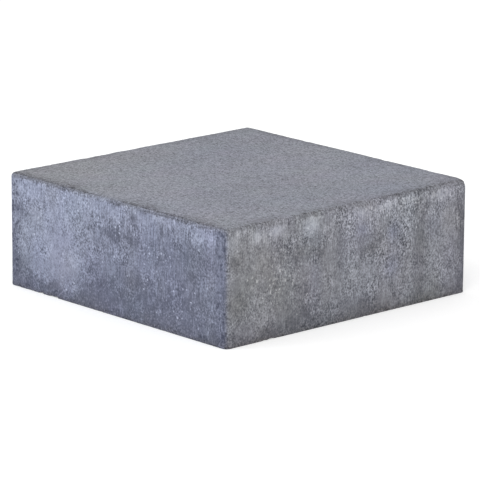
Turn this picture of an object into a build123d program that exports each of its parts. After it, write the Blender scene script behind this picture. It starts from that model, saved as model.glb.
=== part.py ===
from build123d import *
import os

# Square concrete paving stone, vibro-pressed in one piece from one mix.
# The frame has its origin at the centre of the bed face and +Z up through the wearing face.
# The sides lie along X and Y. All sizes are in millimetres.

# Plan: the laying module, and the joint that is left between two laid stones
laying_module = 280.0
joint_width = 2.0
side = laying_module - joint_width

# Thickness class for heavy traffic
thickness = 100.0

# Upright corners, rounded by the mould's inner corners
corner_radius = 5.0

# Arris round the wearing face: a bevel pressed by the rim of the tamper foot,
# with both of its shoulders worn soft
bevel_inset = 2.2
bevel_drop = 2.2
upper_shoulder_radius = 1.8
lower_shoulder_radius = 1.8

# Arris round the bed face, blunted where the green concrete left the pallet
foot_radius = 1.2


def edges_at_height(solid, height):
    """Return the level ring of edges at the given height, found by the edges' centres."""
    return solid.edges().filter_by_position(Axis.Z, height, height)


def pressed_block():
    """Return the plain block as the mould shapes it: a square prism with rounded uprights."""
    plan = RectangleRounded(side, side, corner_radius)
    return extrude(plan, amount=thickness)


def with_wearing_arris(solid):
    """Bevel the rim of the wearing face right round the corners, then blend both shoulders.

    The bevel runs in over the top by its inset and down the sides by its drop. Its upper
    shoulder is the ring of edges left on the wearing face, and its lower shoulder is the ring
    left on the sides.
    """
    rim = edges_at_height(solid, thickness)
    wearing_face = solid.faces().sort_by(Axis.Z)[-1]
    solid = chamfer(rim, length=bevel_inset, length2=bevel_drop, reference=wearing_face)
    solid = fillet(edges_at_height(solid, thickness), upper_shoulder_radius)
    return fillet(edges_at_height(solid, thickness - bevel_drop), lower_shoulder_radius)


def with_foot_arris(solid):
    """Blunt the rim of the bed face."""
    return fillet(edges_at_height(solid, 0.0), foot_radius)


def paving_stone():
    """Return the finished stone, one solid with its bed face at height zero."""
    return with_foot_arris(with_wearing_arris(pressed_block()))


os.makedirs("parts", exist_ok=True)
stone = paving_stone()
stone.label = "paving_stone"
export_step(stone, "parts/paving_stone.step")
size = stone.bounding_box().size
print(f"paving_stone: {size.X:.1f} x {size.Y:.1f} x {size.Z:.1f} mm, {stone.volume / 1e6:.3f} litres")
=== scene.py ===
import logging
import math
from dataclasses import dataclass, field
from enum import Enum
from functools import reduce

import bpy
import numpy as np
from mathutils import Matrix, Vector


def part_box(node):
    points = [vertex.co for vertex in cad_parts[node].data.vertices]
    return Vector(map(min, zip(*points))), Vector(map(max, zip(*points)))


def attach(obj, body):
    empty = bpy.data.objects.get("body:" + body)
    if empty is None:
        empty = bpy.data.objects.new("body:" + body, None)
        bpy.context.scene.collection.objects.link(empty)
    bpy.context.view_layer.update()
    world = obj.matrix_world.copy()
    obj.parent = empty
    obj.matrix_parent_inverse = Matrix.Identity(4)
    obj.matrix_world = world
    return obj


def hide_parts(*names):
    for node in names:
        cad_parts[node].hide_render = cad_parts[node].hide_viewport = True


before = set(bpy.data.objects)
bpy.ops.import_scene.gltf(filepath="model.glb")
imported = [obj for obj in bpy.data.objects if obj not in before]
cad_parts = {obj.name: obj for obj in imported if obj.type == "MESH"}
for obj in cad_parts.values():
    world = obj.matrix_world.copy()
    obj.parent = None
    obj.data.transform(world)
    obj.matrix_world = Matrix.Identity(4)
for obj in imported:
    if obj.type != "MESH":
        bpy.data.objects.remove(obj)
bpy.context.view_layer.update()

log = logging.getLogger("paving_stone")

Array = np.ndarray
Cell = float | tuple[float, float, float]
Colour = tuple[float, float, float, float]

MM = 0.001
NODE = "paving_stone"
BODY = "root"
WHITE: Colour = (1.0, 1.0, 1.0, 1.0)


class Side(Enum):
    """The four pressed sides, each by the outward direction of its face."""

    FRONT = (0, -1)
    RIGHT = (1, 0)
    BACK = (0, 1)
    LEFT = (-1, 0)

    def facing(self, outward: Array) -> Array:
        """Return how squarely each outward direction faces the way of this side, from 0 to 1."""
        turned = outward[:, 0] * self.value[0] + outward[:, 1] * self.value[1]
        return ease(turned, 0.45, 0.85)

    def along(self, points: Array) -> Array:
        """Return each point's place along the side, from its middle to its right end."""
        return points[:, 1] * self.value[0] - points[:, 0] * self.value[1]


def ease(values: Array, low: float, high: float) -> Array:
    """Ease values from 0 at low to 1 at high along the cubic 3t^2 - 2t^3.

    Args:
        values: The numbers to ease.
        low: Where the step starts. It may be above high, and the step then falls.
        high: Where the step ends.

    Returns:
        The eased numbers, from 0 to 1.
    """
    t = np.clip((values - low) / (high - low), 0.0, 1.0)
    return t * t * (3.0 - 2.0 * t)


def bell(values: Array, middle: float | Array, spread: float) -> Array:
    """Return the bell curve of a distance: e to the minus square of its ratio to the spread."""
    return np.exp(-(((values - middle) / spread) ** 2))


def stirred(cells: Array, seed: int) -> Array:
    """Turn whole lattice places into repeatable numbers from 0 to 1.

    The three indices are multiplied by large odd numbers, folded together with the seed, and
    stirred by shifts and products, so that neighbours come out unlike each other.

    Args:
        cells: Whole numbers with a last axis of three.
        seed: Picks one of many unlike patterns.

    Returns:
        One number for each place.
    """
    c = cells.astype(np.int64).astype(np.uint32)
    with np.errstate(over="ignore"):
        h = c[..., 0] * np.uint32(0x8DA6B343) ^ c[..., 1] * np.uint32(0xD8163841)
        h = h ^ c[..., 2] * np.uint32(0xCB1AB31F) ^ np.uint32(seed * 0x9E3779B1 & 0xFFFFFFFF)
        h = (h ^ (h >> np.uint32(15))) * np.uint32(0x2C1B3C6D)
        h = (h ^ (h >> np.uint32(12))) * np.uint32(0x297A2D39)
        h = h ^ (h >> np.uint32(15))
    return h.astype(np.float64) / 2.0**32


def cloud(points: Array, cell: Cell, seed: int) -> Array:
    """Return smooth noise from -1 to 1: lattice numbers blended over each cell by an eased step.

    Args:
        points: Places in metres, one a row.
        cell: The lattice's spacing in millimetres, one for all axes or one for each.
        seed: Picks the pattern.

    Returns:
        One number for each place.
    """
    scaled = points / (np.asarray(cell, float) * MM)
    base = np.floor(scaled)
    t = scaled - base
    t = t * t * t * (t * (t * 6.0 - 15.0) + 10.0)
    total = np.zeros(len(points))
    for corner in np.ndindex(2, 2, 2):
        step = np.array(corner, float)
        weight = np.prod(np.where(step > 0.5, t, 1.0 - t), axis=1)
        total += weight * stirred(base + step, seed)
    return 2.0 * total - 1.0


def clouds(points: Array, cell: Cell, seed: int, layers: int = 3) -> Array:
    """Add clouds, each at half the cell and 0.55 of the strength of the last, kept to -1..1."""
    total = np.zeros(len(points))
    strength, norm = 1.0, 0.0
    for layer in range(layers):
        total += strength * cloud(points, np.asarray(cell, float) / 2.0**layer, seed + layer)
        norm += strength
        strength *= 0.55
    return total / norm


def dents(points: Array, spacing: float, radius: tuple[float, float], share: float, seed: int) -> Array:
    """Scatter round bowls: one centre a cell, its bowl being 1 minus the squared distance ratio.

    Args:
        points: Places in metres, one a row.
        spacing: The size of the cells that hold one centre each, in millimetres.
        radius: The least and the largest bowl in millimetres, under the spacing.
        share: How many of the cells have a bowl, from 0 to 1.
        seed: Picks the pattern.

    Returns:
        The depth at each place, from 0 outside all bowls to 1 at a bowl's centre.
    """
    spacing, least, largest = (length * MM for length in (spacing, *radius))
    scaled = points / spacing
    base = np.floor(scaled)
    deepest = np.zeros(len(points))
    for offset in np.ndindex(3, 3, 3):
        cell = base + np.array(offset, float) - 1.0
        centre = cell + np.stack([stirred(cell, seed + k) for k in (1, 2, 3)], axis=1)
        size = least + (largest - least) * stirred(cell, seed + 4) ** 2
        gap = np.linalg.norm(scaled - centre, axis=1) * spacing / size
        bowl = np.where(stirred(cell, seed + 5) < share, np.clip(1.0 - gap**2, 0.0, 1.0), 0.0)
        deepest = np.maximum(deepest, bowl)
    return deepest


def put_in_scene(name: str, data: bpy.types.ID) -> bpy.types.Object:
    """Make an object of some data, and put it in the scene."""
    made = bpy.data.objects.new(name, data)
    bpy.context.scene.collection.objects.link(made)
    return made


@dataclass(frozen=True)
class Stain:
    """One soft-edged patch on a pressed side, where the pale film is thicker or thinner. At the foot, the
    thinner film also stands for painted shade.

    Args:
        along: Its centre from the side's left end, in millimetres.
        up: Its centre above the bed, in millimetres.
        wide: Its half width, in millimetres.
        tall: Its half height, in millimetres.
        film: How much film it adds, or takes where it is below zero.
        warmth: How far it turns from blue to olive, or to blue where it is below zero.
        gravel: How many more pale grains show in it.
    """

    along: float
    up: float
    wide: float
    tall: float
    film: float
    warmth: float = 0.0
    gravel: float = 0.0


@dataclass(frozen=True)
class Casting:
    """How one pressed side came out of the mould, and the shade and the tint painted on it.

    Args:
        film: The pale film that it has without its stains.
        warmth: Its turn from blue, below zero, to olive, above zero. On the front side the blue is partly
            painted light, standing in for part of the bluish fill light's tint.
        upper_line: How plain the dark line on the wearing face's rim is, from 0 to 1. The line is a shallow
            groove, and its darkness is painted shade of the crease, partly dark rough paste.
        lower_line: How plain the dark line under the arris is, from 0 to 1. The line is a shallow groove, and
            its darkness is painted shade of the undercut, partly dark rough paste.
        lines_down: How far down over the arris both lines lie, in millimetres.
        rim: How dull the wearing face is over it, from 0 to 1.
        grain: How plain its grain is, about 1.
        stains: Its stains.
    """

    film: float
    warmth: float
    upper_line: float
    lower_line: float
    lines_down: float
    rim: float
    grain: float
    stains: tuple[Stain, ...]


def stains(*rows: tuple[float, ...]) -> tuple[Stain, ...]:
    """Make a stain of each row of numbers, in the order of its fields."""
    return tuple(Stain(*row) for row in rows)


FRONT_STAINS = stains(
    # A bright bloom over the left half, ragged at its foot, with small dull spots in it
    (58, 56, 44, 46, 0.30),
    (105, 84, 34, 14, 0.12),
    (24, 88, 14, 8, 0.34),
    (88, 36, 15, 9, 0.13),
    (60, 18, 28, 5, 0.22),
    (46, 71, 4, 4, -0.12),
    (67, 70, 5, 4, -0.18),
    (86, 72, 4, 4, -0.14),
    (57, 60, 12, 7, -0.16),
    (69, 39, 6, 4, -0.16),
    # The dull left end
    (10, 68, 14, 6, -0.36),
    (4, 38, 7, 14, -0.34),
    (8, 14, 15, 14, -0.50),
    # The bright strip under the arris, and the dull row below it
    (140, 88, 50, 8, 0.16),
    (198, 91, 22, 6, 0.20),
    (250, 88, 15, 8, 0.24),
    (160, 87, 4, 6, -0.34),
    (108, 69, 9, 4, -0.28),
    (134, 71, 14, 5, -0.32),
    (163, 68, 20, 4, -0.26),
    # The dull right half, darkest at the right end
    (132, 18, 50, 13, -0.28),
    (153, 10, 16, 8, -0.18),
    (165, 35, 18, 10, -0.20, 0.25),
    (175, 24, 60, 18, -0.16),
    (222, 62, 34, 14, -0.14),
    (252, 55, 12, 9, 0.10),
    (240, 34, 46, 40, -0.16),
    (272, 42, 8, 62, -0.20, -0.05),
    (274, 92, 6, 6, -0.24),
    # The dark foot, partly painted shade and partly darker paste, and the pale grains near the right end
    (140, 1, 170, 9, -0.50),
    (200, 52, 52, 46, 0.0, 0.0, 0.38),
    (120, 74, 90, 22, 0.0, 0.0, 0.14),
)

RIGHT_STAINS = stains(
    # Light rags under the arris
    (33, 90, 6, 7, 0.62, -0.2, 0.2),
    (55, 92, 10, 5, 0.64, -0.3, 0.2),
    (95, 89, 8, 9, 0.80, -0.2, 0.2),
    (150, 90, 16, 6, 0.22, -0.2, 0.2),
    (153, 76, 7, 5, 0.16, -0.4),
    (182, 92, 9, 5, 0.34, 0.0, 0.2),
    (250, 91, 18, 8, 0.08, -0.2, 0.42),
    (215, 92, 12, 6, 0.0, 0.0, 0.25),
    (9, 87, 7, 8, 0.22, 0.0, 0.2),
    # Upright strips and patches, light, blue and dull
    (141, 44, 6, 26, 0.18),
    (209, 55, 5, 34, 0.16),
    (248, 46, 14, 40, 0.08),
    (188, 68, 8, 7, 0.04, -0.5),
    (188, 38, 10, 9, 0.04, -0.5),
    (157, 38, 14, 10, 0.13),
    (232, 36, 11, 10, 0.12),
    (126, 55, 3, 30, -0.18),
    (222, 50, 7, 50, -0.26, 0.2),
    (273, 48, 6, 60, -0.42),
    # Dull patches, olive towards the front
    (50, 45, 58, 50, 0.0, 0.22),
    (10, 73, 12, 7, -0.28, 0.2),
    (14, 38, 14, 20, -0.22, 0.3),
    (52, 50, 14, 22, -0.15, 0.1),
    (82, 68, 18, 6, -0.26, 0.2),
    (106, 64, 7, 7, -0.20, 0.2),
    (163, 58, 9, 6, -0.28, 0.3),
    (84, 32, 18, 8, -0.12),
    # The dark foot, partly painted shade and partly darker paste
    (82, 12, 22, 12, -0.36, 0.1),
    (156, 6, 18, 8, -0.12, 0.2),
    (215, 4, 60, 6, -0.04, 0.2),
    (30, 3, 40, 6, -0.20, 0.1),
    # Pale grains, most of them near the front and under the arris
    (60, 52, 50, 44, 0.0, 0.0, 0.50),
    (200, 60, 70, 40, 0.0, 0.0, 0.20),
    (190, 92, 90, 8, 0.06, 0.0, 0.40),
)

# The hidden sides are finished like the seen ones, with fewer stains
BACK_STAINS = stains(
    (176, 64, 56, 34, 0.22),
    (230, 86, 26, 9, 0.18),
    (96, 88, 22, 7, 0.24, -0.2),
    (60, 42, 30, 26, -0.18),
    (126, 30, 20, 9, -0.16, 0.2),
    (272, 46, 7, 60, -0.30),
    # The dark foot, partly painted shade and partly darker paste
    (139, 2, 160, 9, -0.40),
    (90, 50, 60, 40, 0.0, 0.0, 0.40),
)
LEFT_STAINS = stains(
    (92, 58, 48, 38, 0.22),
    (150, 90, 30, 7, 0.20),
    (30, 66, 16, 8, -0.24, 0.2),
    (214, 38, 34, 26, -0.18),
    (186, 72, 12, 6, -0.20, 0.2),
    (6, 40, 7, 60, -0.30),
    # The dark foot, partly painted shade and partly darker paste
    (139, 2, 160, 9, -0.40),
    (200, 56, 50, 40, 0.0, 0.0, 0.40),
)

CASTINGS = {
    # The front side's blue turn is partly painted light: part of the bluish fill light's tint is put in its
    # colour
    Side.FRONT: Casting(0.32, -0.85, 0.85, 0.80, 0.0, 1.0, 0.96, FRONT_STAINS),
    Side.RIGHT: Casting(0.35, 0.18, 0.40, 0.16, 1.5, 0.8, 1.24, RIGHT_STAINS),
    Side.BACK: Casting(0.38, 0.00, 0.65, 0.60, 0.6, 0.8, 1.0, BACK_STAINS),
    Side.LEFT: Casting(0.38, -0.25, 0.65, 0.60, 0.6, 0.8, 1.0, LEFT_STAINS),
}


@dataclass(frozen=True)
class Depths:
    """How deep each form of the fine relief is sunk below the plain skin, in millimetres."""

    fine_sand: float = 0.035
    broad_sand: float = 0.03
    top: float = 0.05
    ripple: float = 0.04
    pores: float = 0.24
    side: float = 0.10
    drag: float = 0.05
    pits: float = 0.34
    wave: float = 0.06
    holes: float = 0.55
    between: float = 0.06
    upper_line: float = 0.24
    lower_line: float = 0.34
    fin: float = 0.10
    torn: float = 0.04
    ragged: float = 0.26
    chips: float = 0.7
    worn: float = 1.05
    rim: float = 0.12
    most: float = 2.6
    nicks: float = 2.2


@dataclass
class PavingStone:
    """The stone: one closed skin of rings round the sides, with a grid over each flat face.

    Sizes are in metres. The side and the height come from the frame. The rows' spacings are
    wishes, set against each other: over the arris, what the side adds, what the foot takes off.
    """

    corner_radius: float = 5.0 * MM
    bevel: float = 2.2 * MM
    shoulder_radius: float = 1.8 * MM
    foot_radius: float = 1.2 * MM
    rim_width: float = 4.4 * MM
    bed_margin: float = 3.0 * MM
    cells_a_side: int = 186
    rows: int = 82
    coarsening: int = 3
    arc_points: int = 24
    run_points: int = 4000
    arris_spacing: float = 0.46
    side_adds: float = 1.10
    foot_takes: float = 1.0
    corner_blend: float = 4.0 * MM
    depths: Depths = Depths()
    side: float = field(init=False)
    height: float = field(init=False)

    def __post_init__(self) -> None:
        """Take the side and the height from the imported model."""
        low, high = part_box(NODE)
        self.side = high.x - low.x
        self.height = high.z - low.z

    def profile(self) -> tuple[Array, Array, Array]:
        """Work out the upright section from the bed's rim over the side to the wearing face.

        It is a quarter round at the foot, the plain side, an eighth round into the bevel, the
        bevel at 45 degrees, an eighth round onto the wearing face, and that face's flat rim.
        Rows are spread along it by a wished spacing, finest over the arris and the foot.

        Returns:
            For each row its inset from the side, its height, and its slope as the angle of
            the outward direction above level.
        """
        foot, turn, top = self.foot_radius, self.shoulder_radius, self.height
        reach = turn * math.tan(math.pi / 8)
        eighth = math.pi / 4
        arcs = (
            (foot, foot, foot, -2 * eighth, 0.0),
            (turn, top - self.bevel - reach, turn, 0.0, eighth),
            (self.bevel + reach, top - turn, turn, eighth, 2 * eighth),
        )
        inset, level, slope = [], [], []
        for centre_in, centre_up, radius, start, end in arcs:
            angle = np.linspace(start, end, self.arc_points)
            inset.append(centre_in - radius * np.cos(angle))
            level.append(centre_up + radius * np.sin(angle))
            slope.append(angle)
        inset.append(np.array([self.rim_width]))
        level.append(np.array([top]))
        slope.append(np.array([2 * eighth]))
        inset, level, slope = map(np.concatenate, (inset, level, slope))
        run = np.concatenate([[0.0], np.cumsum(np.hypot(np.diff(inset), np.diff(level)))])
        fine = np.linspace(0.0, run[-1], self.run_points)
        from_top = run[-1] - fine
        spacing = self.arris_spacing + self.side_adds * ease(from_top, 9 * MM, 15 * MM)
        spacing = spacing - self.foot_takes * ease(fine, 4 * MM, 2 * MM)
        count = np.concatenate([[0.0], np.cumsum(np.diff(fine) / spacing[1:])])
        at = np.interp(np.linspace(0.0, count[-1], self.rows + 1), count, fine)
        return np.interp(at, run, inset), np.interp(at, run, level), np.interp(at, run, slope)

    def outline(self) -> tuple[Array, Array]:
        """Work out the plan: a square with round corners, anticlockwise from the front left.

        One side goes from the middle of one corner's arc to the middle of the next, at even
        steps along its length, and the other three are that one turned by quarter turns.

        Returns:
            The points of the plan and their outward directions, one a row.
        """
        reach = self.side / 2 - self.corner_radius
        radius, n = self.corner_radius, self.cells_a_side
        half_arc = radius * math.pi / 4
        run = np.linspace(0.0, 2 * reach + 2 * half_arc, n + 1)[:-1]
        angle = -0.75 * math.pi + np.minimum(run, half_arc) / radius
        angle += np.maximum(run - half_arc - 2 * reach, 0.0) / radius
        outward = np.stack([np.cos(angle), np.sin(angle)], axis=1)
        centre = np.stack([np.clip(run - half_arc, 0.0, 2 * reach) - reach, np.full(n, -reach)], axis=1)
        points = centre + radius * outward
        quarter = np.array([[0.0, 1.0], [-1.0, 0.0]])
        turns = [np.linalg.matrix_power(quarter, k) for k in range(4)]
        return np.concatenate([points @ t for t in turns]), np.concatenate([outward @ t for t in turns])

    @staticmethod
    def patch_grid(ring: Array) -> Array:
        """Fill a closed ring of 4n points with an even (n+1) by (n+1) grid.

        Each inner point is the blend of the points across from it on the four sides, less the
        blend of the four corners, so that the grid meets the ring exactly.
        """
        n = len(ring) // 4
        front, right = ring[: n + 1], ring[n : 2 * n + 1]
        back = ring[2 * n : 3 * n + 1][::-1]
        left = np.concatenate([ring[3 * n :], ring[:1]])[::-1]
        u = np.linspace(0.0, 1.0, n + 1)[None, :, None]
        v = np.linspace(0.0, 1.0, n + 1)[:, None, None]
        sides = (1 - v) * front[None] + v * back[None] + (1 - u) * left[:, None] + u * right[:, None]
        corners = (1 - u) * (1 - v) * front[0] + u * (1 - v) * front[-1]
        corners = corners + (1 - u) * v * back[0] + u * v * back[-1]
        return sides - corners

    @staticmethod
    def grid_numbers(ring: Array, first: int) -> Array:
        """Number a grid's points: the ring's own numbers round its rim, new ones inside."""
        n = len(ring) // 4
        numbers = np.empty((n + 1, n + 1), int)
        numbers[0, :] = ring[: n + 1]
        numbers[:, n] = ring[n : 2 * n + 1]
        numbers[n, ::-1] = ring[2 * n : 3 * n + 1]
        numbers[::-1, 0] = np.concatenate([ring[3 * n :], ring[:1]])
        numbers[1:n, 1:n] = first + np.arange((n - 1) ** 2).reshape(n - 1, n - 1)
        return numbers

    @staticmethod
    def grid_faces(numbers: Array) -> Array:
        """Return the four-cornered faces of a numbered grid, facing up."""
        low, high = numbers[:-1], numbers[1:]
        return np.stack([low[:, :-1], low[:, 1:], high[:, 1:], high[:, :-1]], axis=-1).reshape(-1, 4)

    @staticmethod
    def raised(rows: Array, upright: Array) -> Array:
        """Give the level places or directions of each row their upright part."""
        return np.concatenate([rows, np.broadcast_to(upright[:, None, None], (*rows.shape[:2], 1))], axis=2)

    def skin(self) -> tuple[Array, Array, Array, Array]:
        """Build the whole plain skin.

        A side point is the plan's point less the inset along its outward direction, at the
        row's height. The top ring is filled with a grid as fine as itself. The bed has a ring
        of every third point, sewn to the fine rim with triangles, and a coarse grid.

        Returns:
            The points, their outward directions, the four-cornered faces and the triangles.
        """
        inset, level, slope = self.profile()
        plan, outward = self.outline()
        around, rows = len(plan), len(inset)
        flat = plan[None] - inset[:, None, None] * outward[None]
        wall = self.raised(flat, level)
        wall_out = self.raised(np.cos(slope)[:, None, None] * outward[None], np.sin(slope))
        ring = np.arange(rows * around).reshape(rows, around)
        ahead = np.roll(ring, -1, axis=1)
        quads = [np.stack([ring[:-1], ahead[:-1], ahead[1:], ring[1:]], axis=-1).reshape(-1, 4)]

        top = self.patch_grid(wall[-1])[1:-1, 1:-1].reshape(-1, 3)
        top_numbers = self.grid_numbers(ring[-1], rows * around)
        quads.append(self.grid_faces(top_numbers))

        step = self.coarsening
        coarse_plan = (flat[0] - self.bed_margin * outward)[::step]
        coarse = np.concatenate([coarse_plan, np.zeros((around // step, 1))], axis=1)
        coarse_first = rows * around + len(top)
        coarse_ring = coarse_first + np.arange(len(coarse))
        bed = self.patch_grid(coarse)[1:-1, 1:-1].reshape(-1, 3)
        bed_numbers = self.grid_numbers(coarse_ring, coarse_first + len(coarse))
        quads.append(self.grid_faces(bed_numbers)[:, ::-1])
        a, b, c, d = (np.roll(ring[0], -k)[::step] for k in range(step + 1))
        here, there = coarse_ring, np.roll(coarse_ring, -1)
        fans = ((here, b, a), (here, there, b), (there, c, b), (there, d, c))
        triangles = np.concatenate([np.stack(fan, axis=1) for fan in fans])
        up = np.tile([0.0, 0.0, 1.0], (len(top), 1))
        down = np.tile([0.0, 0.0, -1.0], (len(coarse) + len(bed), 1))
        points = np.concatenate([wall.reshape(-1, 3), top, coarse, bed])
        return points, np.concatenate([wall_out.reshape(-1, 3), up, down]), np.concatenate(quads), triangles

    def inset_of(self, points: Array) -> Array:
        """Return how far each point lies inside the round-cornered plan, level measured."""
        q = np.abs(points[:, :2]) - (self.side / 2 - self.corner_radius)
        outside = np.linalg.norm(np.maximum(q, 0.0), axis=1)
        return self.corner_radius - outside - np.minimum(q.max(axis=1), 0.0)

    def from_upright(self, points: Array, first: Side, second: Side) -> Array:
        """Return how far each point lies from the sharp upright corner that two sides would meet in."""
        corner = (np.array(first.value) + np.array(second.value)) * self.side / 2
        return np.linalg.norm(points[:, :2] - corner, axis=1)

    def nearest_side(self, points: Array, trait: str) -> Array:
        """Spread a trait of the four castings over the skin, blended across the corners."""
        total, weight = np.zeros(len(points)), np.full(len(points), 1e-9)
        for side, casting in CASTINGS.items():
            reach = points[:, 0] * side.value[0] + points[:, 1] * side.value[1]
            beyond = reach - np.abs(side.along(points))
            share = ease(beyond, -self.corner_blend, self.corner_blend)
            total += share * getattr(casting, trait)
            weight += share
        return total / weight

    def arris(self, points: Array) -> tuple[Array, dict[str, Array]]:
        """Work out the wear of the arris round the wearing face, and the shade painted on it.

        The place across the arris is the distance below the top less the inset, so that it
        runs from the wearing face, below zero, over the bevel to the side, above zero. One
        dark line lies on the rim of the wearing face and one under the bevel, each fading in
        and out along the arris by noise, and the bevel between them stays a lighter fin. Both
        lines are shallow grooves, and their darkness in the finish is painted shade of the
        crease and the undercut, partly dark rough paste. Both are weaker towards the left
        corner, and the upper one towards the front corner too. The wearing face grows dull
        over its last stretch before the arris.

        Args:
            points: The plain skin's points.

        Returns:
            The depth of the wear in millimetres, and the finish's masks for the arris: the
            place across it in millimetres, and how plain its lines, whose darkness is painted
            shade, its fin, its torn band and the dull rim are.
        """
        d = self.depths
        below = (self.height - points[:, 2]) / MM
        inset = np.maximum(self.inset_of(points), 0.0) / MM
        across = below - inset - self.nearest_side(points, "lines_down")
        wander = 0.7 * cloud(points, 9, 200) + 0.6 * cloud(points, 3.4, 201)
        near = ease(np.hypot(inset, below), 8.0, 5.0)
        rim = ease(inset + 4.0 * cloud(points, 7, 231), 19.0, 5.0) * ease(below - inset, 0.0, -2.0)
        rim = rim * self.nearest_side(points, "rim") * ease(clouds(points, 32, 232, 2), -0.7, 0.2)

        # The two lines: shallow grooves, whose darkness in the finish is painted shade of the crease and the
        # undercut, partly dark rough paste
        upper = self.nearest_side(points, "upper_line") * ease(clouds(points, 24, 210, 3), -0.6, 0.3)
        off_right = ease(self.from_upright(points, Side.FRONT, Side.RIGHT), 20 * MM, 90 * MM)
        off_left = ease(self.from_upright(points, Side.FRONT, Side.LEFT), 60 * MM, 120 * MM)
        upper = upper * (0.5 + 0.5 * off_right) * (0.72 + 0.28 * off_left)
        upper = upper * (1.0 + 0.6 * clouds(points, 7, 214, 2))
        lower = self.nearest_side(points, "lower_line") * ease(clouds(points, 20, 220, 3), -0.4, 0.3)
        lower = lower * (0.85 + 0.35 * off_left)
        fin = ease(clouds(points, 15, 240, 2), -0.3, 0.4)
        across = across + wander
        upper_cut = upper * bell(across, -3.4, 1.7)
        lower_cut = lower * bell(across, 2.4, 1.2)
        band = ease(across, -4.6, -2.6) * ease(across, 3.6, 2.0)

        chips = np.clip(clouds(points, 8, 80, 2) - 0.22, 0.0, 1.0)
        corner = self.from_upright(points, Side.RIGHT, Side.BACK)
        worn = ease(corner, 11 * MM, 3 * MM) * bell(np.hypot(inset, below), 2.6, 2.4)
        ragged = 0.5 + 0.5 * cloud(points, 3.0, 250)
        cuts = d.upper_line * upper_cut + d.lower_line * lower_cut - d.fin * fin * bell(across, 0.2, 1.0)
        depth = near * (cuts + band * (d.torn + d.ragged * ragged + d.chips * chips))
        depth = depth + d.worn * worn + d.rim * rim
        masks = {"across": np.clip(across, -9.0, 9.0), "upper": near * upper, "lower": near * lower}
        return depth, masks | {"fin": near * fin, "tear": 0.9 * near * band * chips + 0.8 * worn, "rim": rim}

    def relief(self, points: Array, directions: Array) -> tuple[Array, dict[str, Array]]:
        """Work out how deep each point is sunk below the plain skin, and the finish's masks.

        Args:
            points: The plain skin's points.
            directions: Their outward directions.

        Returns:
            The depth of each point in metres, never below zero, and the masks by name.
        """
        upright = 1.0 - ease(np.abs(directions[:, 2]), 0.25, 0.75)
        wearing = ease(directions[:, 2], 0.5, 0.95)
        bed = ease(-directions[:, 2], 0.1, 0.6)

        d = self.depths
        sand = d.fine_sand * cloud(points, 2.4, 11) + d.broad_sand * cloud(points, 5.0, 12)
        pits = dents(points, 8, (0.8, 1.9), 0.30, 20)
        wave = clouds(points, 34, 30, 2)
        drag = cloud(points, (2.4, 2.4, 26), 41)
        open_places = ease(points[:, 2], 16 * MM, 1 * MM)
        for other in (Side.LEFT, Side.RIGHT):
            upright_corner = ease(self.from_upright(points, Side.FRONT, other), 21 * MM, 8 * MM)
            open_places = np.maximum(open_places, upright_corner * Side.FRONT.facing(directions))
        holes = dents(points, 4.0, (1.2, 2.3), 0.62, 50) * open_places
        pores = dents(points, 9, (0.8, 1.6), 0.25, 60)
        ripple = clouds(points, 48, 64, 2)

        places = self.shaken(points)
        film = self.film(points, places, directions)
        rough = 1.35 - 0.7 * film
        top_depth = d.top + sand + d.ripple * ripple + d.pores * pores
        side_depth = d.side + rough * (sand + d.drag * drag + d.pits * pits)
        side_depth = side_depth + d.wave * wave + d.holes * holes
        depth = wearing * top_depth + upright * side_depth
        depth = depth + (1.0 - wearing - upright) * d.between
        wear, masks = self.arris(points)
        depth = (np.clip(depth + wear, 0.0, d.most) * (1.0 - bed) + self.nicks(points)) * MM

        # Painted shade at the foot, partly darker paste: the lowest millimetres are darkened in the finish
        foot = 0.80 * ease(points[:, 2], 5.0 * MM, 1.0 * MM)
        foot = foot + 0.30 * ease(places[:, 2], 15 * MM, 6 * MM)
        masks["tear"] = masks["tear"] + foot * (1.0 + 0.5 * cloud(points, 5, 260))
        masks["gravel"] = 0.04 + self.bells(points, directions, "gravel")
        masks["mottle"] = self.mottle(points)
        # Painted shade: how much the side's pits and holes and the wearing face's pores are darkened in the
        # finish
        spots = 1.7 * ease(holes, 0.05, 0.45)
        masks["pit"] = upright * np.maximum(0.7 * pits, spots) + 0.6 * wearing * pores
        masks["open"] = upright * open_places
        masks["film"] = film
        masks["warmth"] = self.warmth(points, directions)
        masks["vigour"] = self.vigour(points, film, masks["warmth"])
        masks["rose"] = clouds(points, (24, 24, 40), 170, 2)
        masks["drag"] = self.drag_zone(points)
        return depth, masks

    def nicks(self, points: Array) -> Array:
        """Return how deep the foot's arris is nicked, in millimetres, less than its own radius.

        The nicks come in some stretches only, and the corners stay whole.
        """
        deep = self.depths.nicks * np.clip(clouds(points, 6, 270, 2) - 0.10, 0.0, 0.5)
        deep = deep * ease(clouds(points, 45, 274, 2), -0.15, 0.35)
        rim = ease(self.inset_of(points), 3.0 * MM, 1.5 * MM)
        from_corner = self.side / 2 - np.abs(points[:, :2]).min(axis=1)
        return rim * ease(points[:, 2], 3.2 * MM, 0.4 * MM) * ease(from_corner, 6 * MM, 14 * MM) * deep

    def vigour(self, points: Array, film: Array, warmth: Array) -> Array:
        """Work out how plain the sides' grain is, about 1.

        It is calmer where the film is thick or all but gone and in the olive places, and uneven
        all over.

        Args:
            points: The plain skin's points.
            film: The film at each point.
            warmth: The turn of hue at each point.

        Returns:
            The strength of the grain at each point.
        """
        calm = 1.0 - 0.32 * ease(film, 0.42, 0.80) - 0.18 * ease(film, 0.42, 0.10)
        olive = 1.0 - 0.42 * ease(warmth, 0.10, 0.50)
        return self.nearest_side(points, "grain") * calm * olive * (1.0 + 0.60 * cloud(points, 13, 190))

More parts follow.
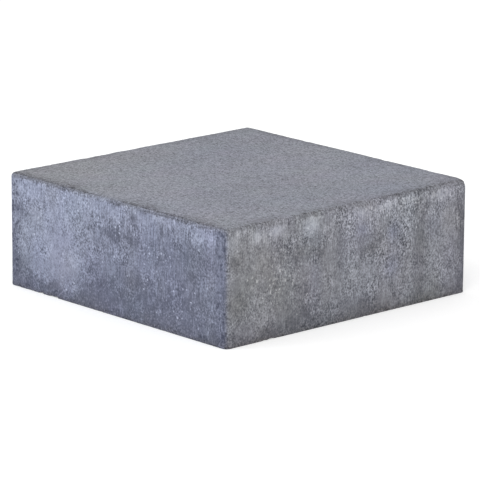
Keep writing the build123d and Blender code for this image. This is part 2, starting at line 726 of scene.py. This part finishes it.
    @staticmethod
    def shaken(points: Array) -> Array:
        """Shift the places by noise of two sizes, so that no patch has a plain outline."""
        broad = np.stack([cloud(points, 13, 100 + k) for k in range(3)], axis=1)
        small = np.stack([cloud(points, 3.6, 110 + k) for k in range(3)], axis=1)
        return points + 5.0 * MM * broad + 3.4 * MM * small

    def bells(self, places: Array, directions: Array, trait: str) -> Array:
        """Add up one trait of the stains, each spread over its own place as a bell."""
        total, up = np.zeros(len(places)), places[:, 2]
        for side, casting in CASTINGS.items():
            along, facing = side.along(places) + self.side / 2, side.facing(directions)
            for stain in casting.stains:
                spread = bell(along, stain.along * MM, stain.wide * MM)
                spread = spread * bell(up, stain.up * MM, stain.tall * MM)
                total += getattr(stain, trait) * spread * facing
        return total

    def film(self, points: Array, places: Array, directions: Array) -> Array:
        """Spread the pale film of fine cement over the sides, from 0 for none to 1 for thick.

        Each side has its own uneven base, a lighter strip under the arris and a dull foot,
        whose dullness is partly painted shade and partly thinner film, and the stains add to it.

        Args:
            points: The plain skin's points.
            places: The same points, shaken.
            directions: Their outward directions.

        Returns:
            The film at each point.
        """
        film = self.nearest_side(points, "film") + self.bells(places, directions, "film")
        film = film + 0.10 * clouds(points, (26, 26, 60), 120, 2)
        film = film + 0.09 * clouds(points, (9, 9, 14), 130, 3)
        film = film + 0.08 * ease(places[:, 2], 78 * MM, 92 * MM)
        # Darker towards the bed: partly painted shade, partly thinner film
        film = film - 0.14 * ease(places[:, 2], 26 * MM, 0.0)
        return np.clip(film, 0.0, 1.0)

    def left_corner(self, points: Array) -> Array:
        """Return how near each point is to the corner between the front and the left side."""
        return ease(self.from_upright(points, Side.FRONT, Side.LEFT), 190 * MM, 10 * MM)

    def mottle(self, points: Array) -> Array:
        """Spread the wearing face's faint clouding, about zero, paler towards its left corner."""
        return 0.12 * clouds(points, 70, 180, 3) + 0.05 * self.left_corner(points)

    def warmth(self, points: Array, directions: Array) -> Array:
        """Spread the turn of hue, from -1 for blue to 1 for olive; the front side's blue is partly painted
        light.

        The side's hue gives way to the wearing face's over a few millimetres of both.
        """
        side = self.nearest_side(points, "warmth") + self.bells(points, directions, "warmth")
        side = side + 0.25 * clouds(points, (20, 20, 34), 150, 2)
        top = 0.25 * clouds(points, 60, 160, 2) + 0.25 * self.left_corner(points)
        below = self.height - points[:, 2] - 0.5 * self.inset_of(points)
        return np.clip(top + (side - top) * ease(below, -5 * MM, 6 * MM), -1.0, 1.0)

    def drag_zone(self, points: Array) -> Array:
        """Mark where the mould dragged streaks down the sides: under the arris, and in places."""
        high = ease(points[:, 2], 60 * MM, 96 * MM)
        places = ease(cloud(points, (34, 34, 80), 140), -0.2, 0.5)
        return np.clip(0.25 + 0.55 * high + 0.45 * places, 0.0, 1.0)

    def build(self) -> bpy.types.Object:
        """Make the finished mesh object, with its place in its mesh and its masks as attributes."""
        points, directions, quads, triangles = self.skin()
        depth, masks = self.relief(points, directions)
        points = points - directions * depth[:, None]
        mesh = bpy.data.meshes.new(NODE + "_skin")
        mesh.from_pydata(points.tolist(), [], quads.tolist() + triangles.tolist())
        mesh.polygons.foreach_set("use_smooth", np.ones(len(mesh.polygons), bool))
        for name, values in masks.items():
            attribute = mesh.attributes.new(name, "FLOAT", "POINT")
            attribute.data.foreach_set("value", values.astype(np.float32))
        mesh.update()
        return put_in_scene(NODE + "_dressed", mesh)


Node, Socket, Tree = bpy.types.Node, bpy.types.NodeSocket, bpy.types.NodeTree
Value = Socket | float | tuple


class Sheet:
    """A node tree under work: adds nodes, feeds their sockets and gives back what they put out."""

    def __init__(self, tree: Tree) -> None:
        """Take the tree to work on."""
        self.tree = tree

    def feed(self, socket: Socket, value: Value) -> None:
        """Join a socket to another one, or set it to a plain value."""
        if isinstance(value, Socket):
            self.tree.links.new(value, socket)
        else:
            socket.default_value = value

    def add(self, kind: str, inputs: dict[str | int, Value] | None = None, **settings: object) -> Node:
        """Add a node of a kind, with its settings and with values or joins for its inputs."""
        node = self.tree.nodes.new(kind)
        for name, value in settings.items():
            setattr(node, name, value)
        for key, value in (inputs or {}).items():
            self.feed(node.inputs[key], value)
        return node

    def math(self, operation: str, first: Value, second: Value = 0.0) -> Socket:
        """Work out one sum, product or the like."""
        return self.add("ShaderNodeMath", {0: first, 1: second}, operation=operation).outputs[0]

    def times(self, *parts: Value) -> Socket:
        """Multiply several values."""
        return reduce(lambda so_far, part: self.math("MULTIPLY", so_far, part), parts)

    def total(self, *terms: Value) -> Socket:
        """Add up several terms. A tuple as a term stands for the product of what it holds."""
        values = [self.times(*term) if isinstance(term, tuple) else term for term in terms]
        return reduce(lambda so_far, value: self.math("ADD", so_far, value), values)

    def ramp(self, value: Value, low: Value, high: Value, *to: float, kind: str = "SMOOTHSTEP") -> Socket:
        """Ease a value from one range to another, or to 0..1, and keep it inside."""
        start, end = to or (0.0, 1.0)
        inputs = {0: value, 1: low, 2: high, 3: start, 4: end}
        return self.add("ShaderNodeMapRange", inputs, interpolation_type=kind).outputs[0]

    def line(self, value: Value, low: Value, high: Value, *to: float) -> Socket:
        """Map a value from one range to another, or to 0..1, evenly, and keep it inside."""
        return self.ramp(value, low, high, *to, kind="LINEAR")

    def ridge(self, value: Value, middle: float, reach: float, core: float) -> Socket:
        """Return 1 within the core of a middle value, easing to 0 at the reach on both sides."""
        gap = self.math("ABSOLUTE", self.math("SUBTRACT", value, middle))
        return self.ramp(gap, reach, core)

    def blend(self, share: Value, first: Value, second: Value, how: str = "MIX") -> Socket:
        """Blend two colours."""
        node = self.add("ShaderNodeMix", {0: share, 6: first, 7: second}, data_type="RGBA", blend_type=how)
        return node.outputs[2]

    def toned(self, colour: Value, *terms: Value) -> Socket:
        """Multiply a colour by a grey, which is 1 and the terms added up."""
        tone = self.total(1.0, *terms)
        grey = self.add("ShaderNodeCombineColor", {0: tone, 1: tone, 2: tone}).outputs[0]
        return self.blend(1.0, colour, grey, "MULTIPLY")

    def stretch(self, vector: Value, scale: tuple[float, float, float]) -> Socket:
        """Scale a vector, so that a pattern on it is drawn out the other way."""
        return self.add("ShaderNodeMapping", {0: vector, 3: scale}).outputs[0]

    def noise(self, vector: Value, scale: Value, detail: float, roughness: float = 0.55) -> Node:
        """Add a noise texture."""
        inputs = {"Vector": vector, "Scale": scale, "Detail": detail, "Roughness": roughness}
        return self.add("ShaderNodeTexNoise", inputs)

    def swing(self, vector: Value, scale: Value, detail: float, roughness: float) -> Socket:
        """Add a noise texture, and return its value about zero."""
        return self.math("SUBTRACT", self.noise(vector, scale, detail, roughness).outputs[0], 0.5)

    def put(self, node: Node, **inputs: Value) -> Node:
        """Feed a node's inputs, named with underscores for spaces, and return the node."""
        for label, value in inputs.items():
            self.feed(node.inputs[label.replace("_", " ")], value)
        return node

    def effect(self, group: Tree, **inputs: Value) -> Node:
        """Place a shared effect, and feed it."""
        return self.put(self.add("ShaderNodeGroup", node_tree=group), **inputs)


def new_group(name: str, inputs: dict[str, str], outputs: dict[str, str]) -> tuple[Tree, Sheet, Node, Node]:
    """Start a shader node group.

    Args:
        name: The group's name.
        inputs: The socket kind of each input, by its name.
        outputs: The socket kind of each output, by its name.

    Returns:
        The group, a sheet to work on it, its input node and its output node.
    """
    group = bpy.data.node_groups.new(name, "ShaderNodeTree")
    for direction, sockets in (("INPUT", inputs), ("OUTPUT", outputs)):
        for label, kind in sockets.items():
            group.interface.new_socket(name=label, in_out=direction, socket_type=kind)
    sheet = Sheet(group)
    return group, sheet, sheet.add("NodeGroupInput"), sheet.add("NodeGroupOutput")


FLOAT, COLOUR, VECTOR = "NodeSocketFloat", "NodeSocketColor", "NodeSocketVector"


def grain_group() -> Tree:
    """Sand grain: fine noise, noise of about three times its size, both about zero, and a height."""
    group, sheet, given, result = new_group(
        "sand_grain",
        {"Vector": VECTOR, "Grains per Metre": FLOAT},
        {"Fine": FLOAT, "Broad": FLOAT, "Height": FLOAT},
    )
    vector, grains = given.outputs[:2]
    fine = sheet.swing(vector, grains, 1.0, 0.8)
    broad = sheet.swing(vector, sheet.times(grains, 0.31), 2.0, 0.6)
    sheet.put(result, Fine=fine, Broad=broad, Height=sheet.total(0.5, fine, (broad, 0.5)))
    return group


def speck_group() -> Tree:
    """Scattered specks: uneven spots in some of the cells of a random lattice, as a mask.

    The place is shifted by noise about zero first, by up to about half a cell.
    """
    group, sheet, given, result = new_group(
        "scattered_specks",
        {"Vector": VECTOR, "Cells per Metre": FLOAT, "Size": FLOAT, "Share": FLOAT},
        {"Mask": FLOAT},
    )
    vector, cells_a_metre, largest, share = given.outputs[:4]
    place = sheet.noise(vector, sheet.times(cells_a_metre, 2.7), 1.0).outputs[1]
    reach = sheet.math("DIVIDE", 0.55, cells_a_metre)
    shifts = (("SUBTRACT", 1, (0.5, 0.5, 0.5)), ("SCALE", "Scale", reach), ("ADD", 1, vector))
    for operation, key, other in shifts:
        place = sheet.add("ShaderNodeVectorMath", {0: place, key: other}, operation=operation).outputs[0]
    cells = sheet.add("ShaderNodeTexVoronoi", {"Vector": place, "Scale": cells_a_metre})
    picks = sheet.add("ShaderNodeSeparateColor", {0: cells.outputs["Color"]}).outputs
    present = sheet.math("LESS_THAN", picks[0], share)
    size = sheet.times(largest, sheet.line(picks[1], 0.0, 1.0, 0.45, 1.0))
    spot = sheet.ramp(cells.outputs["Distance"], size, sheet.times(size, 0.5))
    strength = sheet.line(picks[2], 0.0, 1.0, 0.45, 1.0)
    sheet.put(result, Mask=sheet.times(spot, present, strength))
    return group


def streak_group() -> Tree:
    """Drag streaks: noise drawn out along the height, as a value about zero."""
    group, sheet, given, result = new_group(
        "drag_streaks", {"Vector": VECTOR, "Streaks per Metre": FLOAT}, {"Value": FLOAT}
    )
    vector, streaks = given.outputs[:2]
    drawn = sheet.stretch(vector, (1.0, 1.0, 0.09))
    sheet.put(result, Value=sheet.swing(drawn, streaks, 2.0, 0.7))
    return group


# The blue tint also paints part of the bluish fill light on the front side
BLUE, OLIVE = (0.930, 0.978, 1.140, 1.0), (1.050, 1.015, 0.865, 1.0)
SALLOW, ROSY = (0.985, 1.012, 0.99, 1.0), (1.018, 0.985, 1.012, 1.0)


def hue_group() -> Tree:
    """Turn of hue: a colour multiplied by tints for its warmth and its rose, both -1 to 1."""
    group, sheet, given, result = new_group(
        "hue_turn", {"Color": COLOUR, "Warmth": FLOAT, "Rose": FLOAT}, {"Color": COLOUR}
    )
    colour, warmth, rose = given.outputs[:3]
    for turn, below, above in ((warmth, BLUE, OLIVE), (rose, SALLOW, ROSY)):
        tint = sheet.blend(sheet.line(turn, -1.0, 1.0), below, above)
        colour = sheet.blend(1.0, colour, tint, "MULTIPLY")
    sheet.put(result, Color=colour)
    return group


@dataclass(frozen=True)
class Finish:
    """What the finishes share: how dull and how bumpy they are, and how a material is started."""

    name: str
    roughness: float = 0.92
    specular: float = 0.2
    bump_strength: float = 0.7
    bump_height: float = 0.35 * MM

    def start(self) -> tuple[bpy.types.Material, Sheet, Node]:
        """Start the material, and return it with a sheet to work on it and its shader."""
        made = bpy.data.materials.new(self.name)
        made.use_nodes = True
        sheet = Sheet(made.node_tree)
        shader = made.node_tree.nodes["Principled BSDF"]
        sheet.put(shader, Roughness=self.roughness, Specular_IOR_Level=self.specular)
        return made, sheet, shader

    def roughen(self, sheet: Sheet, shader: Node, height: Socket) -> None:
        """Bump the shader's surface by a height."""
        inputs = {"Height": height, "Strength": self.bump_strength, "Distance": self.bump_height}
        sheet.put(shader, Normal=sheet.add("ShaderNodeBump", inputs).outputs[0])


@dataclass(frozen=True)
class PressedConcrete(Finish):
    """The wearing face, the sides and the arris. Colours are linear, and counts are per metre."""

    name: str = "pressed_concrete"
    wearing: Colour = (0.243, 0.249, 0.284, 1.0)
    paste: Colour = (0.118, 0.121, 0.144, 1.0)
    film: Colour = (0.340, 0.350, 0.396, 1.0)
    # The dark rough paste of the torn arris, also used to paint the shade in the arris lines and band, in the
    # pits and at the foot
    torn: Colour = (0.102, 0.101, 0.113, 1.0)
    pale: Colour = (0.52, 0.53, 0.58, 1.0)
    # The dark specks' colour: painted shade in small pores
    dark: Colour = (0.085, 0.088, 0.110, 1.0)
    # Near black: the painted shade inside the open holes
    hollow_shade: Colour = (0.036, 0.039, 0.056, 1.0)
    grains: float = 700.0
    streaks: float = 720.0
    patches: float = 110.0
    knots: float = 330.0
    crumbs: float = 400.0
    pale_cells: float = 190.0
    dark_cells: float = 260.0

    def material(self, groups: dict[str, Tree]) -> bpy.types.Material:
        """Make the material: the sides' film over the paste, the grained top, and the torn arris, with
        painted shade in the arris's lines and band, in the pits, holes and pores, and at the foot.

        Each sum weighs noises about zero with the masks that the skin carries.
        """
        made, sheet, shader = self.start()
        blend, line, ramp, ridge = sheet.blend, sheet.line, sheet.ramp, sheet.ridge
        times, total, toned = sheet.times, sheet.total, sheet.toned
        place = sheet.add("ShaderNodeTexCoord").outputs["Object"]
        names = "across upper lower fin tear rim mottle pit open film warmth rose drag gravel vigour"
        mask = {n: sheet.add("ShaderNodeAttribute", attribute_name=n).outputs["Fac"] for n in names.split()}
        opened, vigour = mask["open"], mask["vigour"]

        drawn = sheet.stretch(place, (1.0, 1.0, 0.75))
        grain = sheet.effect(groups["sand_grain"], Vector=drawn, Grains_per_Metre=self.grains)
        fine, broad = grain.outputs["Fine"], grain.outputs["Broad"]
        streaks = sheet.effect(groups["drag_streaks"], Vector=place, Streaks_per_Metre=self.streaks)
        lines = times(streaks.outputs["Value"], mask["drag"])
        patches = sheet.swing(sheet.stretch(place, (1.0, 1.0, 0.7)), self.patches, 4.0, 0.62)
        knots = sheet.swing(place, self.knots, 2.0, 0.7)
        crumbs = sheet.swing(place, self.crumbs, 2.0, 0.7)
        specks = groups["scattered_specks"]
        pale = sheet.effect(
            specks, Vector=place, Cells_per_Metre=self.pale_cells, Size=0.30, Share=mask["gravel"]
        ).outputs["Mask"]
        # Dark specks: painted shade in small pores, larger and more of them in the open places
        size, share = total(0.36, (opened, 0.10)), total(0.34, (opened, 0.34))
        dark = sheet.effect(
            specks, Vector=place, Cells_per_Metre=self.dark_cells, Size=size, Share=share
        ).outputs["Mask"]

        film = total(mask["film"], (patches, vigour, 0.70), (fine, vigour, 0.95))
        film = total(film, (broad, 0.50), (lines, 0.95))
        film = line(film, 0.0, 1.0)
        sides = blend(film, self.paste, self.film)
        sides = toned(sides, (total((fine, 1.50), (broad, 0.4)), vigour), lines)
        clumps = ramp(total(knots, (mask["gravel"], 0.40)), 0.26, 0.36)
        sides = blend(times(clumps, 0.38), sides, self.pale)
        sides = blend(times(pale, 0.80), sides, self.pale)
        plain = total(ramp(film, 0.2, 0.8, 0.3, 1.0), (opened, 0.7))
        # Painted shade of the dark specks, near black in the open places
        sides = blend(times(dark, plain, 0.80), sides, blend(opened, self.dark, self.hollow_shade))
        torn = toned(self.torn, (fine, 3.4), (crumbs, 1.8))
        # Painted shade in the pits and holes, near black in the open places
        sides = blend(times(mask["pit"], 0.45), sides, blend(opened, torn, self.hollow_shade))

        top = toned(self.wearing, (fine, 2.5), (broad, 0.45), mask["mottle"])
        # Painted shade in the wearing face's pores
        top = blend(times(mask["pit"], 0.25), top, torn)

        across = total(mask["across"], (crumbs, 5.5), (broad, 3.5))
        frayed = total(across, (crumbs, 5.0))
        both = blend(ramp(across, -0.8, -2.6), sides, top)
        beads = line(knots, -0.12, 0.12, 0.20, 1.30)
        # Painted shade, partly dark rough paste: the arris's two lines and its bevel band are darkened
        # towards the torn colour, and so is the foot
        rag = total(
            mask["tear"],
            (mask["rim"], beads, 0.66),
            (mask["upper"], beads, ridge(frayed, -3.0, 2.8, 0.8), 1.05),
            (mask["lower"], beads, ridge(across, 2.6, 2.2, 0.6), 1.10),
            (ridge(across, -0.4, 3.2, 2.0), total(0.14, (mask["upper"], 0.60))),
            (fine, 1.3),
            (crumbs, 0.9),
        )
        both = blend(line(rag, 0.1, 0.95, 0.0, 0.9), both, torn)
        both = blend(times(mask["fin"], ridge(across, 0.2, 1.5, 0.5), 0.32), both, self.wearing)
        grit = total((fine, 0.9), (crumbs, 0.4))
        both = toned(both, (grit, ridge(mask["across"], -0.5, 6.0, 3.5)))
        turned = sheet.effect(groups["hue_turn"], Color=both, Warmth=mask["warmth"], Rose=mask["rose"])
        sheet.put(shader, Base_Color=turned.outputs[0], Roughness=line(film, 0.0, 1.0, 0.95, 0.84))
        self.roughen(sheet, shader, total(grain.outputs["Height"], (pale, 0.5), (dark, -0.8)))
        return made


@dataclass(frozen=True)
class BedConcrete(Finish):
    """The bed face, as it left the pallet: clouded paste with open pores, their darkness painted shade.
    Counts are per metre.
    """

    name: str = "bed_concrete"
    paste: Colour = (0.190, 0.194, 0.210, 1.0)
    # The pores' colour: painted shade in them
    pore_shade: Colour = (0.085, 0.087, 0.095, 1.0)
    grains: float = 620.0
    pore_cells: float = 170.0
    clouding: float = 28.0
    bump_strength: float = 0.6
    bump_height: float = 0.4 * MM

    def material(self, groups: dict[str, Tree]) -> bpy.types.Material:
        """Make the material: clouded paste with pores darkened as painted shade."""
        made, sheet, shader = self.start()
        place = sheet.add("ShaderNodeTexCoord").outputs["Object"]
        grain = sheet.effect(groups["sand_grain"], Vector=place, Grains_per_Metre=self.grains)
        pores = sheet.effect(
            groups["scattered_specks"], Vector=place, Cells_per_Metre=self.pore_cells, Size=0.32, Share=0.35
        ).outputs["Mask"]
        clouding = sheet.swing(place, self.clouding, 3.0, 0.6)
        paste = sheet.toned(self.paste, (grain.outputs["Fine"], 1.4), (clouding, 0.7))
        sheet.put(shader, Base_Color=sheet.blend(sheet.times(pores, 0.8), paste, self.pore_shade))
        self.roughen(sheet, shader, sheet.total(grain.outputs["Height"], (pores, -1.0)))
        return made


@dataclass(frozen=True)
class Softbox:
    """A square studio light that looks at the stone.

    Args:
        name: Its name.
        place: Where it hangs, in metres.
        size: The length of its sides, in metres.
        power: Its power in watts.
        tint: Its colour, linear.
        aim: What it looks at, in metres.
    """

    name: str
    place: tuple[float, float, float]
    size: float
    power: float
    tint: tuple[float, float, float]
    aim: tuple[float, float, float] = (0.0, 0.0, 0.05)

    def hang(self) -> None:
        """Add the light and turn it to the stone."""
        light = bpy.data.lights.new(self.name, "AREA")
        light.size = self.size
        light.energy = self.power
        light.color = self.tint
        holder = put_in_scene(self.name, light)
        holder.location = self.place
        way = Vector(self.aim) - Vector(self.place)
        holder.rotation_euler = way.to_track_quat("-Z", "Y").to_euler()


@dataclass
class Studio:
    """The pale floor, the light and the camera. Lengths are in metres, angles in degrees."""

    floor_half: float = 40.0
    floor_tone: Colour = (0.82, 0.82, 0.82, 1.0)
    floor_glow: float = 0.30
    surround: Colour = WHITE
    surround_strength: float = 0.80
    seen_strength: float = 0.956
    softboxes: tuple[Softbox, ...] = (
        Softbox("key", (1.6, -1.6, 2.2), 1.6, 30.0, (1.0, 0.99, 0.97)),
        Softbox("fill", (-1.6, -2.4, 1.4), 1.8, 26.0, (0.80, 0.90, 1.0)),
    )
    camera_azimuth: float = 47.491
    camera_elevation: float = 14.164
    camera_roll: float = 0.356
    camera_distance: float = 3.1183
    camera_lens: float = 272.32
    camera_sight: float = 200.0
    aim_right: float = 0.00215
    aim_up: float = -0.00703

    def lay_floor(self) -> None:
        """Lay the floor: one wide level sheet under the stone."""
        h = self.floor_half
        mesh = bpy.data.meshes.new("floor")
        mesh.from_pydata([(-h, -h, 0), (h, -h, 0), (h, h, 0), (-h, h, 0)], [], [(0, 1, 2, 3)])
        floor = put_in_scene("floor", mesh)
        made, sheet, shader = Finish("pale_floor", roughness=1.0, specular=0.0).start()
        sheet.put(shader, Base_Color=self.floor_tone, Emission_Color=WHITE, Emission_Strength=self.floor_glow)
        mesh.materials.append(made)

    def light(self) -> None:
        """Light the stone from all round, and from the softboxes.

        What is seen of the surround itself is as light as the far floor, so that no horizon shows.
        """
        world = bpy.data.worlds.new("surround")
        bpy.context.scene.world = world
        world.use_nodes = True
        background = world.node_tree.nodes["Background"]
        sheet = Sheet(world.node_tree)
        seen = sheet.add("ShaderNodeLightPath").outputs["Is Camera Ray"]
        seen = sheet.times(seen, self.seen_strength)
        strength = sheet.math("MAXIMUM", seen, self.surround_strength)
        sheet.put(background, Color=self.surround, Strength=strength)
        for softbox in self.softboxes:
            softbox.hang()

    def set_camera(self, middle: float) -> None:
        """Set the camera at the photograph's viewing angle.

        Args:
            middle: The height of the stone's middle, which the camera looks past.
        """
        a, e, r = (math.radians(x) for x in (self.camera_azimuth, self.camera_elevation, self.camera_roll))
        back = Vector((math.sin(a) * math.cos(e), -math.cos(a) * math.cos(e), math.sin(e)))
        level = Vector((math.cos(a), math.sin(a), 0.0))
        rise = back.cross(level)
        right = level * math.cos(r) + rise * math.sin(r)
        up = rise * math.cos(r) - level * math.sin(r)
        place = Vector((0, 0, middle)) + right * self.aim_right + up * self.aim_up
        place = place + back * self.camera_distance
        lens = bpy.data.cameras.new("camera")
        lens.lens = self.camera_lens
        lens.clip_end = self.camera_sight
        camera = put_in_scene("camera", lens)
        turn = Matrix((right, up, back)).transposed().to_4x4()
        camera.matrix_world = Matrix.Translation(place) @ turn
        bpy.context.scene.camera = camera


def main() -> None:
    """Build the studio and the stone, and report each piece."""
    logging.basicConfig(level=logging.INFO, format="%(message)s")
    stone = PavingStone()
    studio = Studio()
    studio.set_camera(stone.height / 2)
    studio.lay_floor()
    studio.light()
    bpy.context.scene.view_settings.view_transform = "Standard"

    piece = stone.build()
    groups = {g.name: g for g in (grain_group(), speck_group(), streak_group(), hue_group())}
    for finish in (PressedConcrete(), BedConcrete()):
        piece.data.materials.append(finish.material(groups))
    facing = np.empty(len(piece.data.polygons) * 3, np.float32)
    piece.data.polygons.foreach_get("normal", facing)
    piece.data.polygons.foreach_set("material_index", (facing[2::3] < -0.9).astype(np.int32))
    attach(piece, BODY)
    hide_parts(NODE)
    log.info("%s: %d faces", piece.name, len(piece.data.polygons))


if __name__ == "__main__":
    main()
